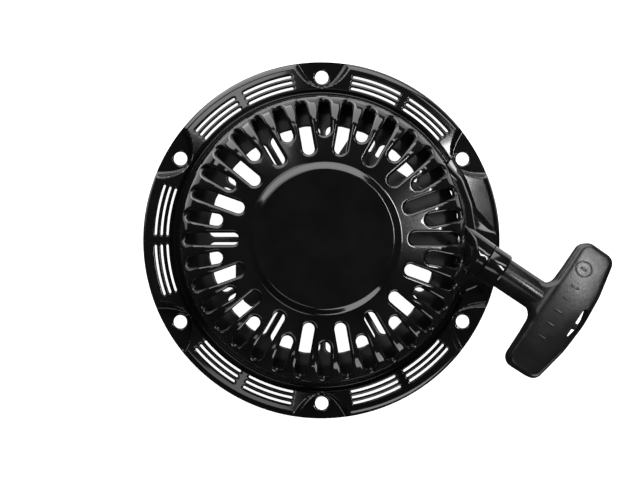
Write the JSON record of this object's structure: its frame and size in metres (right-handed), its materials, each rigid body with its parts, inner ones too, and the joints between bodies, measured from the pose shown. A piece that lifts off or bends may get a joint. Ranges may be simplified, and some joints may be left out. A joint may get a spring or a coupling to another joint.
{
  "type": "recoil starter",
  "caption": "Hand-pull recoil starter for a horizontal-shaft engine: round slotted steel housing, rope reel with ratchet pawls, side rope outlet and T-grip.",
  "frame": {"origin": "on the reel axis, in the engine's mounting plane, which is the underside of the six bolt pads", "axes": "+Z along the reel axis, away from the engine; +Y towards one bolt hole; the rope leaves towards +X and 33.7 degrees below it"},
  "size_m": [0.2975, 0.232, 0.062],
  "materials": {
    "housing_paint": "high-gloss black paint on pressed steel",
    "grip_plastic": "fine satin moulded black",
    "nylon": "moulded black nylon",
    "zinc": "bright zinc plate",
    "spring_steel": "oiled blue-grey spring steel",
    "rope": "braided nylon"
  },
  "bodies": {
    "housing": {"housing": "housing_paint", "rope_outlet": "housing_paint", "outlet_bush": "nylon", "inner_guard": "housing_paint", "reel_post": "zinc", "mainspring": "spring_steel", "thrust_washer": "zinc", "centre_screw": "zinc", "rope_run": "rope"},
    "reel": {"reel": "nylon", "rope_winding": "rope", "reel_knot": "rope", "ratchet_pin_1": "zinc", "ratchet_pin_2": "zinc", "ratchet_spring_1": "spring_steel", "ratchet_spring_2": "spring_steel"},
    "ratchet_guide": {"ratchet_guide": "zinc", "friction_spring": "spring_steel"},
    "ratchet_1": {"ratchet_1": "zinc"},
    "ratchet_2": {"ratchet_2": "zinc"},
    "grip": {"grip": "grip_plastic", "grip_retainer": "nylon", "grip_knot": "rope"}
  },
  "joints": [
    {"name": "grip_pull", "type": "slide", "parent": "housing", "child": "grip", "axis": [0.832, -0.5548, 0], "range_m": [0, 1.25], "stiffness_N_per_m": 6, "springref_m": -2},
    {"name": "reel_spin", "type": "hinge", "parent": "housing", "child": "reel", "pos_m": [0, 0, 0.038], "axis": [0, 0, 1], "range_deg": [-1887, 0]},
    {"name": "guide_lag", "type": "hinge", "parent": "reel", "child": "ratchet_guide", "pos_m": [0, 0, 0.0202], "axis": [0, 0, 1], "range_deg": [0, 25], "stiffness_Nm_per_rad": 0.02},
    {"name": "ratchet_1_swing", "type": "hinge", "parent": "reel", "child": "ratchet_1", "pos_m": [0.029, 0, 0.0248], "axis": [0, 0, 1], "range_deg": [0, 27.6]},
    {"name": "ratchet_2_swing", "type": "hinge", "parent": "reel", "child": "ratchet_2", "pos_m": [-0.029, 0, 0.0248], "axis": [0, 0, 1], "range_deg": [0, 27.6]}
  ],
  "couplings": [
    {"joint": "reel_spin", "follows": "grip_pull", "rad_per_m": -26.316},
    {"joint": "ratchet_1_swing", "follows": "guide_lag", "ratio": 1.1},
    {"joint": "ratchet_2_swing", "follows": "guide_lag", "ratio": 1.1}
  ]
}
